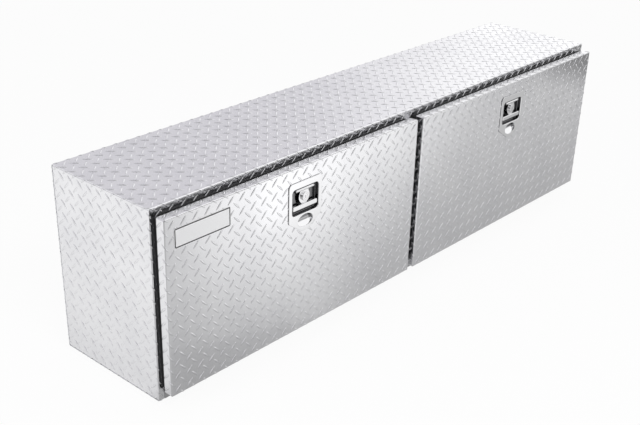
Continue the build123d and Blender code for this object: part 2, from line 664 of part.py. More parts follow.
def latch_bolt(centre):
    """The sliding bolt: bevelled on the side that meets the striker, with a lug in front."""
    back = BOLT_FRONT + BOLT_THICK
    side_view = Polyline((BOLT_FRONT, BOLT_BASE), (back, BOLT_BASE), (back, BOLT_TOP - BOLT_BEVEL),
                         (BOLT_FRONT + BOLT_THICK - BOLT_BEVEL, BOLT_TOP), (BOLT_FRONT, BOLT_TOP), close=True)
    bolt = both_ways(Plane.YZ * make_face(side_view), BOLT_WIDTH)
    lug = block((-LUG_WIDTH / 2, LUG_WIDTH / 2), (BOLT_FRONT - LUG_REACH, BOLT_FRONT),
                (LUG_TOP - LUG_HEIGHT, LUG_TOP))
    return at_door(centre, bolt + lug)


def bolt_spring(centre):
    """The compression spring under the bolt."""
    height = BOLT_BASE - SPRING_BASE - SPRING_WIRE
    start = SPRING_BASE + SPRING_WIRE / 2
    coil = Helix(height / SPRING_TURNS, height, SPRING_R)
    section = Plane(origin=coil @ 0, z_dir=coil % 0) * RegularPolygon(SPRING_WIRE / 2, SPRING_FLATS)
    wire = sweep(section, coil)
    return Pos(centre, BOLT_FRONT + BOLT_THICK / 2, start) * wire


# ---- stays -------------------------------------------------------------------------

SETBACK_ANGLE = atan2(STAY_DOOR_SETBACK, sqrt(STAY_RADIUS ** 2 - STAY_DOOR_SETBACK ** 2))
DOOR_PIN_ANGLE = pi / 2 + SETBACK_ANGLE
BODY_PIN_ANGLE = DOOR_PIN_ANGLE - 2 * atan2(STAY_REST_SPAN / 2,
                                            sqrt(STAY_RADIUS ** 2 - STAY_REST_SPAN ** 2 / 4))


def on_stay_circle(angle):
    """Y and Z of a pin at an angle about the hinge axis, from +Y towards +Z."""
    return (HINGE_Y + STAY_RADIUS * cos(angle), HINGE_Z + STAY_RADIUS * sin(angle))


DOOR_PIN = on_stay_circle(DOOR_PIN_ANGLE)
BODY_PIN = on_stay_circle(BODY_PIN_ANGLE)
STAY_OPEN_SPAN = 2 * STAY_RADIUS * sin((DOOR_PIN_ANGLE + DOOR_SWING * pi / 180 - BODY_PIN_ANGLE) / 2)


def stay_places():
    """Each stay: its name, the X of its bar's middle, and the side its brackets are on."""
    outer = STAY_BAR_INNER - STAY_THICK / 2
    inner = POST_WIDTH / 2 + STAY_WASHER + STAY_THICK / 2
    return [("left_outer", -outer, -1), ("left_inner", -inner, 1),
            ("right_inner", inner, -1), ("right_outer", outer, 1)]


def stay_bar(x):
    """A slotted bar: a round eye at the door's pin and a slot that runs over the body's pin."""
    start = STAY_REST_SPAN - STAY_PIN_R - STAY_END_CLEAR
    end = STAY_OPEN_SPAN + STAY_PIN_R + STAY_END_CLEAR
    slot_width = 2 * (STAY_PIN_R + STAY_SLOT_CLEAR)
    slot = Pos((start + end) / 2, 0) * SlotOverall(end - start, slot_width)
    tip = end + STAY_WIDTH / 2 - slot_width / 4
    body = Pos((tip - STAY_WIDTH / 2) / 2, 0) * SlotOverall(tip + STAY_WIDTH / 2, STAY_WIDTH)
    bar = body - slot - Circle(STAY_PIN_R + RUN_CLEAR)
    lean = degrees(atan2(BODY_PIN[1] - DOOR_PIN[1], BODY_PIN[0] - DOOR_PIN[0]))
    solid = both_ways(Plane.YZ * (Rot(0, 0, lean) * bar), STAY_THICK)
    return Pos(x, *DOOR_PIN) * solid


def stay_pin(x, side, place, reach):
    """A shoulder pin: its root on the bracket's side, its head on the other side of the bar."""
    bar_face = STAY_THICK / 2 + STAY_WASHER / 2
    head = sorted((x - side * bar_face, x - side * (bar_face + STAY_HEAD)))
    shank = sorted((x - side * bar_face, x + side * reach))
    return rod(STAY_PIN_R, shank, *place) + rod(STAY_HEAD_R, head, *place)


def bracket_faces(x, side):
    """X of a bracket's two faces beside the bar at x."""
    near = x + side * (STAY_THICK / 2 + STAY_WASHER)
    return near, near + side * STAY_BRACKET


def door_stay_bracket(x, side):
    """An angle bracket on the back of the skin, with an ear for the stay's pin."""
    near, far = bracket_faces(x, side)
    root = SKIN_BACK + STAY_BRACKET
    y, z = DOOR_PIN
    ear_shape = Circle(STAY_EAR_R) + Pos((root - y) / 2, 0) * Rectangle(y - root, 2 * STAY_EAR_R)
    ear = Pos(min(near, far), y, z) * extrude(Plane.YZ * ear_shape, STAY_BRACKET)
    foot = block(sorted((far, far - side * STAY_FOOT)), (SKIN_BACK, root), (z - STAY_EAR_R, z + STAY_EAR_R))
    return ear + foot - rod(STAY_PIN_R, sorted((near, far)), y, z)


def end_stay_bracket(x, side):
    """An angle bracket on the back of the end flange, with an ear for the stay's pin."""
    near, far = bracket_faces(x, side)
    root = FRONT + SHEET
    y, z = BODY_PIN
    ear_shape = Circle(STAY_EAR_R) + Pos((root - y) / 2, 0) * Rectangle(y - root, 2 * STAY_EAR_R)
    ear = Pos(min(near, far), y, z) * extrude(Plane.YZ * ear_shape, STAY_BRACKET)
    foot = block(sorted((near, near + side * STAY_FOOT)), (root, root + STAY_BRACKET),
                 (z - STAY_EAR_R, z + STAY_EAR_R))
    return ear + foot - rod(STAY_PIN_R, sorted((near, far)), y, z)


# ---- write every node --------------------------------------------------------------

save("wrap_shell", wrap_shell() - [hole for c in (-DOOR_CENTRE, DOOR_CENTRE) for hole in body_rivet_holes(c)])
save("left_end_panel", end_panel(-1))
save("right_end_panel", end_panel(1))
save("centre_post", centre_post() - [rod(STAY_PIN_R, (-POST_WIDTH, POST_WIDTH), *BODY_PIN)])
save("body_hinge_rivets", body_rivets())

outer_stays = [(x, side) for name, x, side in stay_places() if "outer" in name]
save("end_stay_brackets", Compound([end_stay_bracket(x, side) for x, side in outer_stays]))
bracket_reach = STAY_THICK / 2 + STAY_WASHER + STAY_BRACKET
post_reach = STAY_THICK / 2 + STAY_WASHER + SHEET
save("body_stay_pins", Compound([stay_pin(x, side, BODY_PIN, bracket_reach if "outer" in name else post_reach)
                                 for name, x, side in stay_places()]))

for hand, centre in (("left", -DOOR_CENTRE), ("right", DOOR_CENTRE)):
    save(f"{hand}_door_seal", seal(centre))
    save(f"{hand}_striker", striker(centre))
    save(f"{hand}_hinge_body_leaf", body_leaf(centre))
    save(f"{hand}_hinge_pin", rod(PIN_R, hinge_ends(centre), HINGE_Y, HINGE_Z))
    save(f"{hand}_hinge_door_leaf", door_leaf(centre))
    save(f"{hand}_door_hinge_rivets", door_rivets(centre))
    save(f"{hand}_door_panel", door_panel(centre))
    save(f"{hand}_door_edge", door_edge(centre))
    save(f"{hand}_door_rim", door_rim(centre))
    save(f"{hand}_door_stiffeners", door_stiffeners(centre))
    save(f"{hand}_latch_gasket", latch_gasket(centre))
    save(f"{hand}_latch_dish", latch_dish(centre))
    save(f"{hand}_latch_nuts", latch_nuts(centre))
    save(f"{hand}_latch_bracket", latch_bracket(centre))
    save(f"{hand}_handle_pin", handle_pin(centre))
    save(f"{hand}_pull_handle", pull_handle(centre))
    save(f"{hand}_lock_barrel", lock_barrel(centre))
    save(f"{hand}_key_plug", key_plug(centre))
    save(f"{hand}_lock_cam", lock_cam(centre))
    save(f"{hand}_latch_bolt", latch_bolt(centre))
    save(f"{hand}_bolt_spring", bolt_spring(centre))
    stays = [(name, x, side) for name, x, side in stay_places() if name.startswith(hand)]
    save(f"{hand}_door_stay_brackets", Compound([door_stay_bracket(x, side) for name, x, side in stays]))
    save(f"{hand}_door_stay_pins", Compound([stay_pin(x, side, DOOR_PIN, bracket_reach)
                                             for name, x, side in stays]))
    for name, x, side in stays:
        save(f"{name}_stay", stay_bar(x))
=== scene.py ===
"""A long truck tool box of folded tread plate, with two drop-down doors and slam latches."""

import math

import bmesh
import bpy
from mathutils import Matrix, Vector


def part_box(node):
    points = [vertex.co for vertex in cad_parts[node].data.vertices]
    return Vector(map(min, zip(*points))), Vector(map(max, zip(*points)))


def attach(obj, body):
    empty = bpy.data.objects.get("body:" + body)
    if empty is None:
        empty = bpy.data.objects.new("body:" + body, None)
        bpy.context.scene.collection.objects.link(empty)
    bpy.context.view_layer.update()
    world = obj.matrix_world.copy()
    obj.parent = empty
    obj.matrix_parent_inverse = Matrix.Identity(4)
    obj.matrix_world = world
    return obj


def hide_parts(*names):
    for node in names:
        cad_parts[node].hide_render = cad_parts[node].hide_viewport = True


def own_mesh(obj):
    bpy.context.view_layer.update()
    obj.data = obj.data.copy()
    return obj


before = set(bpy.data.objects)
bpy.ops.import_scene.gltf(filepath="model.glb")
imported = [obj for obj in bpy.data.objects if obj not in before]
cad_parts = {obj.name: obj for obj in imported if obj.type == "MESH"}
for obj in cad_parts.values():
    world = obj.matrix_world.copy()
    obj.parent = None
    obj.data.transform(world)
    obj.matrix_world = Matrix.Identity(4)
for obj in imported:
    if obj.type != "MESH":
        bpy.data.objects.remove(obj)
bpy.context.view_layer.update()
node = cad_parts

# ---- body sheet ----------------------------------------------------------------
# One length of rolled aluminium tread plate, folded round the top, back and floor
# with a flange at each front edge.  Bright from the mill, with a soft bloom, a fine
# grain along the sheet from the rolls and a little haze from handling.

SHEET_BRIGHT = (0.86, 0.86, 0.875, 1.0)
SHEET_DULL = (0.80, 0.80, 0.82, 1.0)
SHEET_ROUGHNESS = (0.16, 0.22)
BLOOM = (7.0, 4.0, 0.55)        # scale, detail and roughness of the bloom
BLOOM_EDGES = (0.35, 0.68)      # where in the bloom bright metal turns dull
SWELL_SCALE = 5.0               # slow waves that the rolls leave in the sheet
SWELL = (0.0008, 0.25)          # their height, and how strongly they show
GRAIN = (0.000004, 0.3)         # the same for the grain
ALONG_X = (6.0, 700.0, 700.0)   # stretch of the grain
NOISE_RANGE = (0.3, 0.7)        # most of a noise texture lies between these


def finish_named(name):
    """A new material with its nodes and links."""
    material = bpy.data.materials.new(name)
    material.use_nodes = True
    return material, material.node_tree.nodes, material.node_tree.links


def object_place(nodes, links, stretch=(1.0, 1.0, 1.0)):
    """Object coordinates, stretched to run a grain along one way."""
    place = nodes.new("ShaderNodeTexCoord")
    mapping = nodes.new("ShaderNodeMapping")
    mapping.inputs["Scale"].default_value = stretch
    links.new(place.outputs["Object"], mapping.inputs["Vector"])
    return mapping.outputs["Vector"]


def noise(nodes, links, vector, scale, detail=2.0, roughness=0.5):
    """A noise texture read at a vector."""
    texture = nodes.new("ShaderNodeTexNoise")
    texture.inputs["Scale"].default_value = scale
    texture.inputs["Detail"].default_value = detail
    texture.inputs["Roughness"].default_value = roughness
    links.new(vector, texture.inputs["Vector"])
    return texture.outputs["Fac"]


def spread(nodes, links, value, low, high, low_out=0.0, high_out=1.0):
    """A value carried from one range to another."""
    change = nodes.new("ShaderNodeMapRange")
    limits = {"From Min": low, "From Max": high, "To Min": low_out, "To Max": high_out}
    for name, number in limits.items():
        change.inputs[name].default_value = number
    links.new(value, change.inputs["Value"])
    return change.outputs["Result"]


def tint(nodes, links, factor, first, second):
    """One colour turning to another."""
    mix = nodes.new("ShaderNodeMix")
    mix.data_type = "RGBA"
    mix.inputs["A"].default_value = first
    mix.inputs["B"].default_value = second
    links.new(factor, mix.inputs["Factor"])
    return mix.outputs["Result"]


def bump(nodes, links, height, distance, strength=1.0, below=None):
    """A bump, laid over another if one is given."""
    ridge = nodes.new("ShaderNodeBump")
    ridge.inputs["Distance"].default_value = distance
    ridge.inputs["Strength"].default_value = strength
    links.new(height, ridge.inputs["Height"])
    if below is not None:
        links.new(below, ridge.inputs["Normal"])
    return ridge.outputs["Normal"]


def rolled_aluminium(name, grain):
    """Bright rolled sheet, its fine grain stretched along one way."""
    material, nodes, links = finish_named(name)
    shader = nodes["Principled BSDF"]
    shader.inputs["Metallic"].default_value = 1.0
    plain = object_place(nodes, links)
    bloom = noise(nodes, links, plain, *BLOOM)
    streak = noise(nodes, links, object_place(nodes, links, grain), 1.0, 2.0)
    colour = tint(nodes, links, spread(nodes, links, bloom, *BLOOM_EDGES), SHEET_BRIGHT, SHEET_DULL)
    links.new(colour, shader.inputs["Base Color"])
    roughness = spread(nodes, links, bloom, *NOISE_RANGE, *SHEET_ROUGHNESS)
    links.new(roughness, shader.inputs["Roughness"])
    swell = bump(nodes, links, noise(nodes, links, plain, SWELL_SCALE, 1.0), *SWELL)
    links.new(bump(nodes, links, streak, *GRAIN, swell), shader.inputs["Normal"])
    return material


def give(material, *names):
    """CAD nodes that take a material."""
    for name in names:
        node[name].data.materials.clear()
        node[name].data.materials.append(material)


tread_sheet = rolled_aluminium("tread_sheet", ALONG_X)
give(tread_sheet, "wrap_shell")

# ---- raised lugs of the body sheet -----------------------------------------------
# The lugs are rolled into the flat sheet before it is folded: slim pointed lenses in
# a square lattice, each row turned across the one beside it.  Here they are laid out
# on the flat blank, trimmed at its edges and pressed round the same folds.

LUG_PITCH = 0.0356
LUG_LENGTH = 0.0290
LUG_WIDTH = 0.0058
LUG_HEIGHT = 0.0014
LUG_SUNK = 0.0009       # middle of the lens below the face of the sheet
LUG_ROOT = 0.0003       # how far a lug's foot goes into the sheet
LUG_POINT = 0.60        # 0.5 is a plain oval, 1 a lens with sharp points
LUG_TURN = 45           # degrees, each row the other way
LUG_SIDES = 6           # faces round a lens, and steps along it
MERGE = 1e-7            # a cut this near a vertex goes through it
BEND = 0.0032           # outside radius of a fold
BEND_STEPS = 4
MIDDLE = (0, 0, 0)


def lug(bm, x, y, turn):
    """One slim lens, lying half sunk in the sheet at an angle."""
    ball = bmesh.ops.create_uvsphere(bm, u_segments=LUG_SIDES, v_segments=LUG_SIDES, radius=1.0)
    made = ball["verts"]
    bmesh.ops.rotate(bm, verts=made, cent=MIDDLE, matrix=Matrix.Rotation(math.pi / 2, 3, "Y"))
    for v in made:
        slim = max(0.0, 1.0 - v.co.x ** 2) ** (LUG_POINT - 0.5)
        v.co.y *= slim
        v.co.z *= slim
    whole = LUG_HEIGHT + LUG_SUNK
    hidden_tip = math.sqrt(1 - (LUG_SUNK / whole) ** (1 / LUG_POINT))
    hidden_side = math.cos(math.pi / LUG_SIDES)
    size = (LUG_LENGTH / 2 / hidden_tip, LUG_WIDTH / 2 / hidden_side, whole)
    turned = Matrix.Rotation(math.radians(turn), 3, "Z")
    bmesh.ops.scale(bm, verts=made, vec=size)
    bmesh.ops.rotate(bm, verts=made, cent=MIDDLE, matrix=turned)
    bmesh.ops.translate(bm, verts=made, vec=(x, y, -LUG_SUNK))


def all_of(bm):
    """Every vertex, edge and face."""
    return bm.verts[:] + bm.edges[:] + bm.faces[:]


def trim(bm, place, outward):
    """Cuts off what is past a plane and closes the cut."""
    cut = bmesh.ops.bisect_plane(bm, geom=all_of(bm), dist=MERGE, plane_co=place, plane_no=outward,
                                 clear_outer=True)
    edges = [e for e in cut["geom_cut"] if isinstance(e, bmesh.types.BMEdge)]
    bmesh.ops.holes_fill(bm, edges=edges, sides=0)


def lug_blank(width, height):
    """A flat blank of lugs, width along X and height along Y, about its own middle."""
    bm = bmesh.new()
    across = math.ceil(width / 2 / LUG_PITCH + 1)
    along = math.ceil(height / 2 / LUG_PITCH + 1)
    lug(bm, -across * LUG_PITCH, -along * LUG_PITCH, LUG_TURN)
    lug(bm, (0.5 - across) * LUG_PITCH, (0.5 - along) * LUG_PITCH, -LUG_TURN)
    trim(bm, (0, 0, -LUG_ROOT), (0, 0, -1))
    for step, count in (((LUG_PITCH, 0, 0), 2 * across), ((0, LUG_PITCH, 0), 2 * along)):
        bmesh.ops.spin(bm, geom=all_of(bm), cent=MIDDLE, axis=(0, 0, 1), dvec=step, angle=0.0,
                       steps=count, use_duplicate=True)
    for way, reach in (((1, 0, 0), width / 2), ((-1, 0, 0), width / 2), ((0, 1, 0), height / 2),
                       ((0, -1, 0), height / 2)):
        trim(bm, Vector(way) * reach, way)
    return bm


def press_fold(bm, way, line):
    """Folds everything past a line down by a right angle, about the inside of the bend."""
    way = Vector(way)
    arc = BEND * math.pi / 2
    for i in range(BEND_STEPS + 1):
        crease = way * (line + arc * i / BEND_STEPS)
        bmesh.ops.bisect_plane(bm, geom=all_of(bm), dist=MERGE, plane_co=crease, plane_no=way)
    for v in bm.verts:
        past = v.co.dot(way) - line
        if past > 0:
            turn = min(past, arc) / BEND
            rest = max(past - arc, 0.0)
            rise = v.co.z
            v.co += way * ((BEND + rise) * math.sin(turn) + rest * math.cos(turn) - past)
            v.co.z = (BEND + rise) * math.cos(turn) - BEND - rest * math.sin(turn)


def finished_piece(name, bm, body, slot, *materials):
    """A mesh made an object that rides on a body."""
    mesh = bpy.data.meshes.new(name)
    bm.to_mesh(mesh)
    bm.free()
    for material in materials:
        mesh.materials.append(material)
    piece = bpy.data.objects.new(name, mesh)
    bpy.context.scene.collection.objects.link(piece)
    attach(piece, body)
    return piece


def lug_piece(name, bm, body, placed, material):
    """Stands the folded lugs on their faces of the box."""
    bmesh.ops.transform(bm, matrix=placed, verts=bm.verts[:])
    bmesh.ops.recalc_face_normals(bm, faces=bm.faces[:])
    for face in bm.faces:
        face.smooth = True
    finished_piece(name, bm, body, "tread_plate", material)


low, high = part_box("wrap_shell")
body_length, body_depth, body_height = high - low
FLANGE = 0.038          # flange round the two door openings
ARC = BEND * math.pi / 2

# The middle of the blank lies on the top of the box.  Towards the front it folds down
# as a flange; towards the back it folds down, under and up, and it ends at the hinge.
back_fold = body_depth - BEND
floor_fold = back_fold + ARC + body_height - 2 * BEND
hinge_fold = floor_fold + ARC + body_depth - 2 * BEND
blank_end = hinge_fold + ARC
blank_start = 2 * BEND - ARC - FLANGE
bm = lug_blank(body_length, blank_end - blank_start)
bmesh.ops.translate(bm, verts=bm.verts[:], vec=(0, (blank_end + blank_start) / 2, 0))
press_fold(bm, (0, -1, 0), -BEND)
for line in (hinge_fold, floor_fold, back_fold):
    press_fold(bm, (0, 1, 0), line)
lug_piece("wrap_lugs", bm, "body", Matrix.Translation((0, low.y, body_height)), tread_sheet)

# ---- end panels ------------------------------------------------------------------
# A folded pan of the same sheet closes each end: its edges are welded inside the wrap
# and its front edge turns in to frame the door opening.  The sheet runs front to back.

ALONG_Y = (700.0, 6.0, 700.0)
end_sheet = rolled_aluminium("end_sheet", ALONG_Y)
for side, hand in ((-1, "left"), (1, "right")):
    give(end_sheet, f"{hand}_end_panel")
    low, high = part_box(f"{hand}_end_panel")
    panel_depth = high.y - low.y
    turned_in = FLANGE - 2 * BEND + ARC
    bm = lug_blank(panel_depth + turned_in, high.z - low.z)
    bmesh.ops.translate(bm, verts=bm.verts[:], vec=(-side * turned_in / 2, 0, 0))
    press_fold(bm, (-side, 0, 0), panel_depth / 2 - BEND)
    facing = Matrix(((0, side, 0), (0, 0, 1), (side, 0, 0))).transposed().to_4x4()
    middle = Vector((high.x if side > 0 else low.x, (low.y + high.y) / 2, (low.z + high.z) / 2))
    lug_piece(f"{hand}_end_lugs", bm, "body", Matrix.Translation(middle) @ facing, end_sheet)

# ---- centre post, door rims and stiffeners ----------------------------------------
# Plain sheet without lugs: the channel welded between the two openings, the flat frame
# welded inside each door and the hat sections on the back of its skin.

ALONG_Z = (700.0, 700.0, 6.0)
plain_sheet = rolled_aluminium("plain_sheet", ALONG_Z)
give(plain_sheet, "centre_post")
for hand in ("left", "right"):
    give(plain_sheet, f"{hand}_door_rim", f"{hand}_door_stiffeners")

# ---- door seals and latch gaskets --------------------------------------------------
# Black sponge bulb with a smooth skin, stuck round each opening, and a sheet of the
# same foam under each latch plate.

RUBBER_DARK = (0.012, 0.012, 0.013, 1.0)
RUBBER_PALE = (0.028, 0.028, 0.03, 1.0)
RUBBER_ROUGHNESS = (0.45, 0.62)
MOTTLE_SCALE = 60.0
PORE_SCALE = 1500.0
PORES = (0.0001, 0.5)       # their depth, and how strongly they show
rubber, nodes, links = finish_named("seal_rubber")
shader = nodes["Principled BSDF"]
shader.inputs["Specular IOR Level"].default_value = 0.4
place = object_place(nodes, links)
mottle = noise(nodes, links, place, MOTTLE_SCALE, 3.0)
links.new(tint(nodes, links, mottle, RUBBER_DARK, RUBBER_PALE), shader.inputs["Base Color"])
roughness = spread(nodes, links, mottle, *NOISE_RANGE, *RUBBER_ROUGHNESS)
links.new(roughness, shader.inputs["Roughness"])
pores = noise(nodes, links, place, PORE_SCALE)
links.new(bump(nodes, links, pores, *PORES), shader.inputs["Normal"])
for hand in ("left", "right"):
    give(rubber, f"{hand}_door_seal", f"{hand}_latch_gasket")

# ---- hinges, rivets and strikers ---------------------------------------------------
# Continuous stainless hinges with a rolled satin surface, aluminium blind rivets with
# turned heads, and zinc plated steel strikers behind the upper flange.

DULLED = 0.88           # the darker parts of a plated surface
RELIEF_SHOWS = 0.5      # how strongly its texture shows


def plated(name, colour, roughness, scale, relief=0.00001):
    """Bare or plated metal with a fine even texture, stretched if its scale is."""
    material, nodes, links = finish_named(name)
    shader = nodes["Principled BSDF"]
    shader.inputs["Metallic"].default_value = 1.0
    texture = noise(nodes, links, object_place(nodes, links, scale), 1.0, 3.0)
    pale = tuple(colour) + (1.0,)
    dull = tuple(DULLED * c for c in colour) + (1.0,)
    links.new(tint(nodes, links, texture, pale, dull), shader.inputs["Base Color"])
    links.new(spread(nodes, links, texture, *NOISE_RANGE, *roughness), shader.inputs["Roughness"])
    links.new(bump(nodes, links, texture, relief, RELIEF_SHOWS), shader.inputs["Normal"])
    return material


satin = plated("hinge_steel", colour=(0.6, 0.6, 0.61), roughness=(0.26, 0.36),
               scale=(20, 1200, 1200))
zinc = plated("zinc_steel", colour=(0.62, 0.63, 0.65), roughness=(0.3, 0.45),
              scale=(300, 300, 300))
rivet_metal = plated("rivet_aluminium", colour=(0.72, 0.72, 0.73), roughness=(0.3, 0.42),
                     scale=(400, 400, 400))
give(rivet_metal, "body_hinge_rivets")
for hand in ("left", "right"):
    give(satin, f"{hand}_hinge_body_leaf", f"{hand}_hinge_pin", f"{hand}_hinge_door_leaf")
    give(rivet_metal, f"{hand}_door_hinge_rivets")
    give(zinc, f"{hand}_striker")

# ---- doors -------------------------------------------------------------------------
# Tread plate skins with rolled edges and a band of the same sheet welded round them.
# The lugs run on over the edges; they are flattened under the latch plate, and the
# corners of the blank are notched out before it is folded.

LUG_CLEAR = 0.004       # the plate covers cut lugs by this much
PLATE_SIDE = 0.104      # straight sides of the latch plate, above its V
PLATE_TIP = 0.022       # flat at the point of the V
NAMEPLATE_FROM_EDGE = 0.0265
NAMEPLATE_SIZE = (0.1695, 0.050)
NAMEPLATE_BELOW_TOP = 0.053


def clear_inside(bm, planes):
    """Takes away the lugs inside a convex outline of upright planes, and closes the cuts."""
    for place, outward in planes:
        bmesh.ops.bisect_plane(bm, geom=all_of(bm), dist=MERGE, plane_co=place, plane_no=outward)
    inside = [f for f in bm.faces
              if all((f.calc_center_median() - Vector(p)).dot(Vector(n)) < 0 for p, n in planes)]
    bmesh.ops.delete(bm, geom=inside, context="FACES")
    bmesh.ops.holes_fill(bm, edges=[e for e in bm.edges if e.is_boundary], sides=0)


def upright_box(left, right, base, top):
    """The four planes of an outline with square corners."""
    return [((left, 0, 0), (-1, 0, 0)), ((right, 0, 0), (1, 0, 0)), ((0, base, 0), (0, -1, 0)),
            ((0, top, 0), (0, 1, 0))]


for hand in ("left", "right"):
    give(tread_sheet, f"{hand}_door_panel", f"{hand}_door_edge")
    low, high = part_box(f"{hand}_door_panel")
    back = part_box(f"{hand}_door_edge")[1].y
    centre = (low + high) / 2
    width, height = high.x - low.x, high.z - low.z
    turned_back = 2 * (ARC + back - low.y - BEND)
    bm = lug_blank(width - 2 * BEND + turned_back, height - 2 * BEND + turned_back)

    plate_low, plate_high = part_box(f"{hand}_latch_gasket")
    left, right = plate_low.x - centre.x + LUG_CLEAR, plate_high.x - centre.x - LUG_CLEAR
    tip, top = plate_low.z - centre.z + LUG_CLEAR, plate_high.z - centre.z - LUG_CLEAR
    shoulder = plate_high.z - centre.z - PLATE_SIDE + LUG_CLEAR / 2
    run, drop = (right - left - PLATE_TIP) / 2, shoulder - tip
    slope = Vector((drop, -run, 0)).normalized()
    clear_inside(bm, upright_box(left, right, tip, top)
                 + [((right, shoulder, 0), slope), ((left, shoulder, 0), (-slope.x, slope.y, 0))])
    if hand == "left":
        label_left = low.x - centre.x + NAMEPLATE_FROM_EDGE
        label_top = height / 2 - NAMEPLATE_BELOW_TOP + NAMEPLATE_SIZE[1] / 2
        clear_inside(bm, upright_box(label_left, label_left + NAMEPLATE_SIZE[0],
                                     label_top - NAMEPLATE_SIZE[1], label_top))
    for x_way in (-1, 1):
        for y_way in (-1, 1):
            clear_inside(bm, [((x_way * (width / 2 - BEND), 0, 0), (-x_way, 0, 0)),
                              ((0, y_way * (height / 2 - BEND), 0), (0, -y_way, 0))])
    for way, line in (((0, 1, 0), height / 2 - BEND), ((0, -1, 0), height / 2 - BEND),
                      ((1, 0, 0), width / 2 - BEND), ((-1, 0, 0), width / 2 - BEND)):
        press_fold(bm, way, line)
    placed = Matrix.Translation((centre.x, low.y, centre.z)) @ Matrix.Rotation(math.pi / 2, 4, "X")
    lug_piece(f"{hand}_door_lugs", bm, f"{hand}_door", placed, tread_sheet)

# ---- blank nameplate ---------------------------------------------------------------
# A thin satin aluminium plate stuck near the left door's upper corner, with a printed
# black line round it and nothing on it.

PLATE_THICK = 0.0008
LABEL_CORNER = 0.005
LINE_INSET = 0.0010
LINE_WIDTH = 0.0030
FINE_RELIEF = 0.000004
label_metal = plated("label_aluminium", colour=(0.93, 0.93, 0.94), roughness=(0.35, 0.45),
                     scale=(900, 30, 900), relief=FINE_RELIEF)
label_ink = plated("label_ink", colour=(0.02, 0.02, 0.022), roughness=(0.45, 0.55),
                   scale=(500, 500, 500))
for material, metallic in ((label_metal, 0.5), (label_ink, 0.0)):
    material.node_tree.nodes["Principled BSDF"].inputs["Metallic"].default_value = metallic
low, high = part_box("left_door_panel")
bm = bmesh.new()
bmesh.ops.create_grid(bm, x_segments=1, y_segments=1, size=0.5)
bmesh.ops.scale(bm, verts=bm.verts[:], vec=(*NAMEPLATE_SIZE, 1))
bmesh.ops.bevel(bm, geom=bm.verts[:], offset=LABEL_CORNER, offset_type="OFFSET", segments=4,
                profile=0.5, affect="VERTICES", material=-1)
grown = bmesh.ops.extrude_face_region(bm, geom=bm.faces[:])
raised = [f for f in grown["geom"] if isinstance(f, bmesh.types.BMFace)]
bmesh.ops.translate(bm, verts=list({v for f in raised for v in f.verts}), vec=(0, 0, PLATE_THICK))
bmesh.ops.inset_region(bm, faces=raised, thickness=PLATE_THICK / 4, depth=0)
bmesh.ops.inset_region(bm, faces=raised, thickness=LINE_INSET, depth=0)
for f in bmesh.ops.inset_region(bm, faces=raised, thickness=LINE_WIDTH, depth=0)["faces"]:
    f.material_index = 1
bmesh.ops.recalc_face_normals(bm, faces=bm.faces[:])
label_x = low.x + NAMEPLATE_FROM_EDGE + NAMEPLATE_SIZE[0] / 2
placed = (Matrix.Translation((label_x, low.y, high.z - NAMEPLATE_BELOW_TOP))
          @ Matrix.Rotation(math.pi / 2, 4, "X"))
bmesh.ops.transform(bm, matrix=placed, verts=bm.verts[:])
finished_piece("blank_nameplate", bm, "left_door", "plain_aluminium", label_metal, label_ink)

# ---- slam latches --------------------------------------------------------------------
# Mirror polished stainless plates with a pressed cup, rougher and with painted shade down
# inside it, a polished pull handle and key lock, and zinc plated works behind.

DISH_BRIGHT = (0.80, 0.80, 0.81, 1.0)
DISH_PAINTED_SHADE = (0.16, 0.16, 0.165, 1.0)
DISH_ROUGHNESS = (0.07, 0.16)
PAINTED_SHADE_DEPTHS = (0.0012, 0.0045)       # depths below the plate's face over which painted shade darkens the dish
SCOOP_SHADE_HEIGHTS = (0.335, 0.343)          # heights between which the pale scoop turns to painted shade at its top
DISH_GRAIN_SCALE = 400.0
DISH_GRAIN = (0.000006, 0.4)    # its height, and how strongly it shows


def both(nodes, links, operation, first, second):
    """Two values put together."""
    joined = nodes.new("ShaderNodeMath")
    joined.operation = operation
    links.new(first, joined.inputs[0])
    links.new(second, joined.inputs[1])
    return joined.outputs[0]


polished = plated("polished_steel", colour=(0.80, 0.80, 0.81), roughness=(0.05, 0.10),
                  scale=(60, 60, 60), relief=FINE_RELIEF)
dish_steel_painted_shade, nodes, links = finish_named("dish_steel_painted_shade")
shader = nodes["Principled BSDF"]
shader.inputs["Metallic"].default_value = 1.0
place = object_place(nodes, links)
# Painted shade: the colour turns dark with depth in the cup, above the foot of the scoop.
depth = nodes.new("ShaderNodeSeparateXYZ")
links.new(place, depth.inputs["Vector"])
plate_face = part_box("left_latch_dish")[0].y
inside = spread(nodes, links, depth.outputs["Y"], *(plate_face + d for d in PAINTED_SHADE_DEPTHS))
under = spread(nodes, links, depth.outputs["Z"], *SCOOP_SHADE_HEIGHTS)
inside = both(nodes, links, "MULTIPLY", inside, under)
links.new(tint(nodes, links, inside, DISH_BRIGHT, DISH_PAINTED_SHADE), shader.inputs["Base Color"])
links.new(spread(nodes, links, inside, 0.0, 1.0, *DISH_ROUGHNESS), shader.inputs["Roughness"])
dish_grain = noise(nodes, links, place, DISH_GRAIN_SCALE)
links.new(bump(nodes, links, dish_grain, *DISH_GRAIN), shader.inputs["Normal"])
for hand in ("left", "right"):
    give(dish_steel_painted_shade, f"{hand}_latch_dish")
    give(polished, f"{hand}_pull_handle", f"{hand}_lock_barrel", f"{hand}_key_plug")
    give(satin, f"{hand}_handle_pin")
    give(zinc, f"{hand}_latch_nuts", f"{hand}_latch_bracket", f"{hand}_lock_cam",
         f"{hand}_latch_bolt")
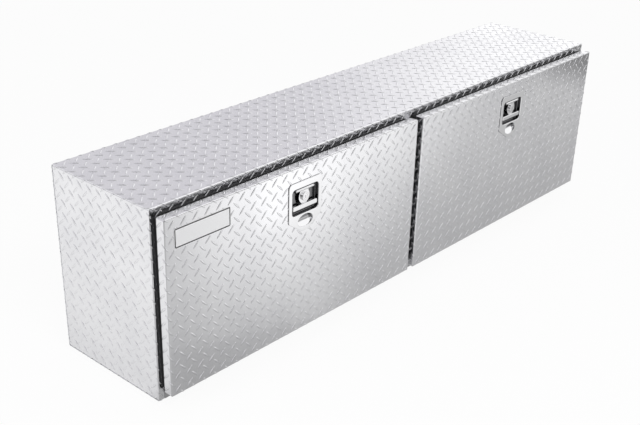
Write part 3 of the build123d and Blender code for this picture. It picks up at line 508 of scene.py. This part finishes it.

# ---- bolt springs ----------------------------------------------------------------------
# A coil of spring wire under each sliding bolt, seated on the bracket.

SPRING_WIRE = 0.0011
SPRING_TURNS = 6
WIRE_SIDES = 8
TURN_STEPS = 18
for hand in ("left", "right"):
    low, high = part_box(f"{hand}_bolt_spring")
    middle = (low + high) / 2
    length = high.z - low.z
    steps = SPRING_TURNS * TURN_STEPS
    bm = bmesh.new()
    bmesh.ops.create_circle(bm, segments=WIRE_SIDES, radius=SPRING_WIRE / 2)
    bmesh.ops.rotate(bm, verts=bm.verts[:], cent=MIDDLE,
                     matrix=Matrix.Rotation(math.pi / 2, 3, "X"))
    bmesh.ops.translate(bm, verts=bm.verts[:], vec=((high.x - low.x - SPRING_WIRE) / 2, 0, 0))
    bmesh.ops.spin(bm, geom=all_of(bm), cent=MIDDLE, axis=(0, 0, 1), steps=steps,
                   dvec=(0, 0, (length - SPRING_WIRE) / steps), angle=2 * math.pi * SPRING_TURNS)
    bmesh.ops.holes_fill(bm, edges=[e for e in bm.edges if e.is_boundary], sides=0)
    bmesh.ops.recalc_face_normals(bm, faces=bm.faces[:])
    bmesh.ops.translate(bm, verts=bm.verts[:], vec=(middle.x, middle.y, low.z + SPRING_WIRE / 2))
    for face in bm.faces:
        face.smooth = len(face.verts) == 4
    coil = finished_piece(f"{hand}_spring_coil", bm, f"{hand}_door", "hinge_steel", satin)
    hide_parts(f"{hand}_bolt_spring")
    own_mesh(coil)

# ---- stays -----------------------------------------------------------------------------
# Zinc plated bars, brackets and pins that stop each door when it is level.

give(zinc, "end_stay_brackets", "body_stay_pins")
for hand in ("left", "right"):
    give(zinc, f"{hand}_door_stay_brackets", f"{hand}_door_stay_pins", f"{hand}_outer_stay",
         f"{hand}_inner_stay")

# ---- camera ------------------------------------------------------------------------
# A slightly long lens, high off the left front corner, that looks down along the box.
# The small shift sets the box in the frame.

EYE = (-2.1958, -1.8040, 1.4624)
LOOK = (62.243, -1.074, -47.072)    # degrees
FOCAL_LENGTH = 59.08                # mm, on a 36 mm frame
SHIFT = (0.0234, 0.0742)
camera_data = bpy.data.cameras.new("camera")
camera_data.lens = FOCAL_LENGTH
camera_data.sensor_width = 36.0
camera_data.shift_x, camera_data.shift_y = SHIFT
camera_data.clip_end = 60.0
camera = bpy.data.objects.new("camera", camera_data)
camera.location = EYE
camera.rotation_euler = [math.radians(a) for a in LOOK]
bpy.context.scene.collection.objects.link(camera)
bpy.context.scene.camera = camera
bpy.context.scene.view_settings.view_transform = "Standard"

# ---- floor and plinth --------------------------------------------------------------
# A plain white floor, and a low white plinth that lets the open doors hang level.  In
# the mirror of the metal the floor glows with painted light and painted shadow: bright in
# front of the left door, and darker in a painted shadow of the box, towards the left
# corner and far off.

PLINTH = 0.02           # height
PLINTH_INSET = 0.015    # from each side of the box
PLINTH_GAP = 0.0005
FLOOR_HALF = 30.0
FLOOR_WHITE = (0.9, 0.9, 0.9, 1.0)
FLOOR_GLOW = 0.93       # share of plain white that the camera sees on the floor
FLOOR_MIRRORED = 0.75   # share of the floor's own light that the metal sees

# Soft edges of painted light and painted shade on the floor, seen only in the metal: the
# way across each one, the metres where it starts and ends, and the brightness before and after it.
PAINTED_BOX_SHADOW = ((0.404, 0.915, 0.0), -0.75, -0.29, 1.27, 0.53)
FAR_PATCH = ((1.0, 0.0, 0.0), 2.0, 2.25, 1.0, 0.15)
FAR_PATCH_END = ((1.0, 0.0, 0.0), 3.2, 3.6, 0.0, 1.0)
FRONT_LIGHT = ((0.0, -1.0, 0.0), 0.28, 0.80, 0.84, 1.12)
LEFT_FALL = ((-0.84, -0.543, 0.0), 0.414, 0.794, 1.0, 0.45)
CORNER_SHADE = ((-0.37, 0.93, 0.0), -0.139, -0.114, 1.0, 0.85)
NEAR_DARK = ((-0.6, -0.8, 0.0), 1.2, 2.2, 1.0, 0.25)
BACK_LIGHT = ((-1.0, 0.0, 0.0), 0.93, 1.5, 0.86, 1.08)
BACK_SHADE = ((0.707, 0.707, 0.0), -0.25, 0.0, 1.0, 0.72)
BACK_TO_FRONT = ((0.0, -1.0, 0.0), 0.1, 0.2)


def stage_mesh(name, bm, material):
    """A mesh that is part of the studio, not of the box."""
    mesh = bpy.data.meshes.new(name)
    bm.to_mesh(mesh)
    bm.free()
    mesh.materials.append(material)
    thing = bpy.data.objects.new(name, mesh)
    bpy.context.scene.collection.objects.link(thing)


def mixed_surface(nodes, links, share, first, second):
    """Two shaders mixed into the surface."""
    mix = nodes.new("ShaderNodeMixShader")
    links.new(share, mix.inputs["Fac"])
    links.new(first, mix.inputs[1])
    links.new(second, mix.inputs[2])
    links.new(mix.outputs["Shader"], nodes["Material Output"].inputs["Surface"])


def blend(nodes, links, factor, first, second):
    """A value turning to another."""
    pick = nodes.new("ShaderNodeMix")
    links.new(factor, pick.inputs["Factor"])
    for socket, value in (("A", first), ("B", second)):
        if isinstance(value, float):
            pick.inputs[socket].default_value = value
        else:
            links.new(value, pick.inputs[socket])
    return pick.outputs["Result"]


def edge(nodes, links, vector, across, *limits):
    """A soft straight edge: a value that changes along one way."""
    reach = nodes.new("ShaderNodeVectorMath")
    reach.operation = "DOT_PRODUCT"
    reach.inputs[1].default_value = across
    links.new(vector, reach.inputs[0])
    return spread(nodes, links, reach.outputs["Value"], *limits)


floor_paint, nodes, links = finish_named("floor_paint")
shader = nodes["Principled BSDF"]
shader.inputs["Base Color"].default_value = FLOOR_WHITE
shader.inputs["Roughness"].default_value = 0.8
shader.inputs["Specular IOR Level"].default_value = 0.1
place = object_place(nodes, links)
# Painted light and painted shadow: the glow that the metal mirrors is set by place on the floor.
painted_floor_light = both(nodes, links, "MAXIMUM", edge(nodes, links, place, *FAR_PATCH),
           edge(nodes, links, place, *FAR_PATCH_END))
for change in (PAINTED_BOX_SHADOW, FRONT_LIGHT, LEFT_FALL, CORNER_SHADE, NEAR_DARK):
    painted_floor_light = both(nodes, links, "MULTIPLY", painted_floor_light, edge(nodes, links, place, *change))
behind = both(nodes, links, "MULTIPLY", edge(nodes, links, place, *BACK_LIGHT),
              edge(nodes, links, place, *BACK_SHADE))
painted_floor_light = blend(nodes, links, edge(nodes, links, place, *BACK_TO_FRONT), behind, painted_floor_light)
rays = nodes.new("ShaderNodeLightPath")
camera_ray, glossy_ray = rays.outputs["Is Camera Ray"], rays.outputs["Is Glossy Ray"]
glow = nodes.new("ShaderNodeEmission")
links.new(blend(nodes, links, glossy_ray, 1.0, painted_floor_light), glow.inputs["Strength"])
share = both(nodes, links, "MAXIMUM", spread(nodes, links, camera_ray, 0.0, 1.0, 0.0, FLOOR_GLOW),
             spread(nodes, links, glossy_ray, 0.0, 1.0, 0.0, FLOOR_MIRRORED))
mixed_surface(nodes, links, share, shader.outputs["BSDF"], glow.outputs["Emission"])
bm = bmesh.new()
bmesh.ops.create_grid(bm, x_segments=1, y_segments=1, size=FLOOR_HALF)
bmesh.ops.translate(bm, verts=bm.verts[:], vec=(0, 0, -PLINTH))
stage_mesh("floor", bm, floor_paint)
bm = bmesh.new()
bmesh.ops.create_cube(bm, size=1.0)
size = (body_length - 2 * PLINTH_INSET, body_depth - 2 * PLINTH_INSET, PLINTH)
bmesh.ops.scale(bm, verts=bm.verts[:], vec=size)
bmesh.ops.translate(bm, verts=bm.verts[:], vec=(0, 0, -PLINTH / 2 - PLINTH_GAP))
stage_mesh("plinth", bm, floor_paint)

# ---- light -------------------------------------------------------------------------
# White all round for the camera.  For the mirror of the metal the studio is bright at the
# far right, softer at the back left, and dark low on the near side and in two patches of
# the ceiling, one in front of the box and one behind it.

BRIGHT_WALL = 1.18
SOFT_WALL = 0.77
SHADOW_FILL = 0.6       # what the white studio gives to shaded matt surfaces
PLAIN_WHITE = (1.0, 1.0, 1.0, 1.0)
COOL_WHITE = (0.97, 0.955, 1.0, 1.0)

# Soft edges in the studio: the way across each one, where along it the edge starts and
# ends, and the values before and after it where they aren't 0 and 1.
SOFT_SIDE = ((-0.616, 0.788, 0.0), -0.10, 0.08)
BACK_CEILING = (((0.0, 1.0, 0.0), 0.10, 0.20), ((0.0, 0.0, 1.0), 0.64, 0.76),
                ((1.0, 0.0, 0.0), 0.14, 0.28))
FRONT_CEILING = (((0.0, 0.0, 1.0), 0.68, 0.80), ((0.5, -0.866, 0.0), 0.02, 0.08),
                 ((0.0, -1.0, 0.0), 0.10, 0.18), ((-1.0, 0.0, 0.0), 0.08, 0.18))
NEAR_WALL = ((-0.6, -0.8, 0.0), 0.36, 0.72, 1.0, 0.18)
NEAR_WALL_TOP = ((0.0, 0.0, 1.0), 0.2, 0.42)
BACK_CEILING_DARK = 0.08
FRONT_CEILING_DARK = 0.06
world = bpy.data.worlds.new("studio")
bpy.context.scene.world = world
world.use_nodes = True
nodes, links = world.node_tree.nodes, world.node_tree.links
back = nodes["Background"]
way = nodes.new("ShaderNodeTexCoord").outputs["Generated"]
patches = []
for first, *others in (BACK_CEILING, FRONT_CEILING):
    patch = edge(nodes, links, way, *first)
    for other in others:
        patch = both(nodes, links, "MULTIPLY", patch, edge(nodes, links, way, *other))
    patches.append(patch)
side = edge(nodes, links, way, *SOFT_SIDE)
overhead = spread(nodes, links, patches[0], 0.0, 1.0, SOFT_WALL, BACK_CEILING_DARK)
walls = blend(nodes, links, side, BRIGHT_WALL, overhead)
near = both(nodes, links, "MAXIMUM", edge(nodes, links, way, *NEAR_WALL),
            edge(nodes, links, way, *NEAR_WALL_TOP))
above = spread(nodes, links, patches[1], 0.0, 1.0, 1.0, FRONT_CEILING_DARK)
mirrored = both(nodes, links, "MULTIPLY", walls, both(nodes, links, "MULTIPLY", near, above))
rays = nodes.new("ShaderNodeLightPath")
seen = both(nodes, links, "MAXIMUM", rays.outputs["Is Camera Ray"],
            rays.outputs["Is Transmission Ray"])
plain = spread(nodes, links, seen, 0.0, 1.0, SHADOW_FILL, 1.0)
glossy_ray = rays.outputs["Is Glossy Ray"]
links.new(blend(nodes, links, glossy_ray, plain, mirrored), back.inputs["Strength"])
cool = both(nodes, links, "MULTIPLY", side, glossy_ray)
links.new(tint(nodes, links, cool, PLAIN_WHITE, COOL_WHITE), back.inputs["Color"])


def lamp(name, place, aim, size, power):
    """A soft box that points at a place and doesn't show in the metal."""
    data = bpy.data.lights.new(name, "AREA")
    data.shape = "RECTANGLE"
    data.size, data.size_y = size
    data.energy = power
    thing = bpy.data.objects.new(name, data)
    thing.location = place
    thing.rotation_euler = (Vector(aim) - Vector(place)).to_track_quat("-Z", "Y").to_euler()
    thing.visible_glossy = False
    bpy.context.scene.collection.objects.link(thing)


lamp("key_softbox", place=(-1.5, -3.0, 3.2), aim=(0, 0, 0.2), size=(2.0, 1.4), power=60)
lamp("fill_softbox", place=(-4.0, 0.5, 2.0), aim=(0, 0, 0.2), size=(1.6, 1.6), power=25)

# ---- edge flag ---------------------------------------------------------------------
# A slim flag of black cloth hung before the front edge of the box, a little over the
# doors, so that the flange under the top mirrors it.  Only the metal sees it.

FLAG_LENGTH = 1.6       # of the length of the box
FLAG_DROP = 0.042
FLAG_PLACE = (0.3, -0.27, 0.508)    # middle of its lower edge
flag_cloth, nodes, links = finish_named("flag_cloth")
shader = nodes["Principled BSDF"]
shader.inputs["Base Color"].default_value = (0.02, 0.02, 0.02, 1)
shader.inputs["Roughness"].default_value = 0.9
clear = nodes.new("ShaderNodeBsdfTransparent")
rays = nodes.new("ShaderNodeLightPath")
mixed_surface(nodes, links, rays.outputs["Is Glossy Ray"], clear.outputs["BSDF"],
              shader.outputs["BSDF"])
bm = bmesh.new()
bmesh.ops.create_grid(bm, x_segments=1, y_segments=1, size=0.5)
bmesh.ops.scale(bm, verts=bm.verts[:], vec=(FLAG_LENGTH * body_length, FLAG_DROP, 1))
bmesh.ops.rotate(bm, verts=bm.verts[:], cent=MIDDLE, matrix=Matrix.Rotation(math.pi / 2, 3, "X"))
bmesh.ops.translate(bm, verts=bm.verts[:], vec=Vector(FLAG_PLACE) + Vector((0, 0, FLAG_DROP / 2)))
stage_mesh("edge_flag", bm, flag_cloth)
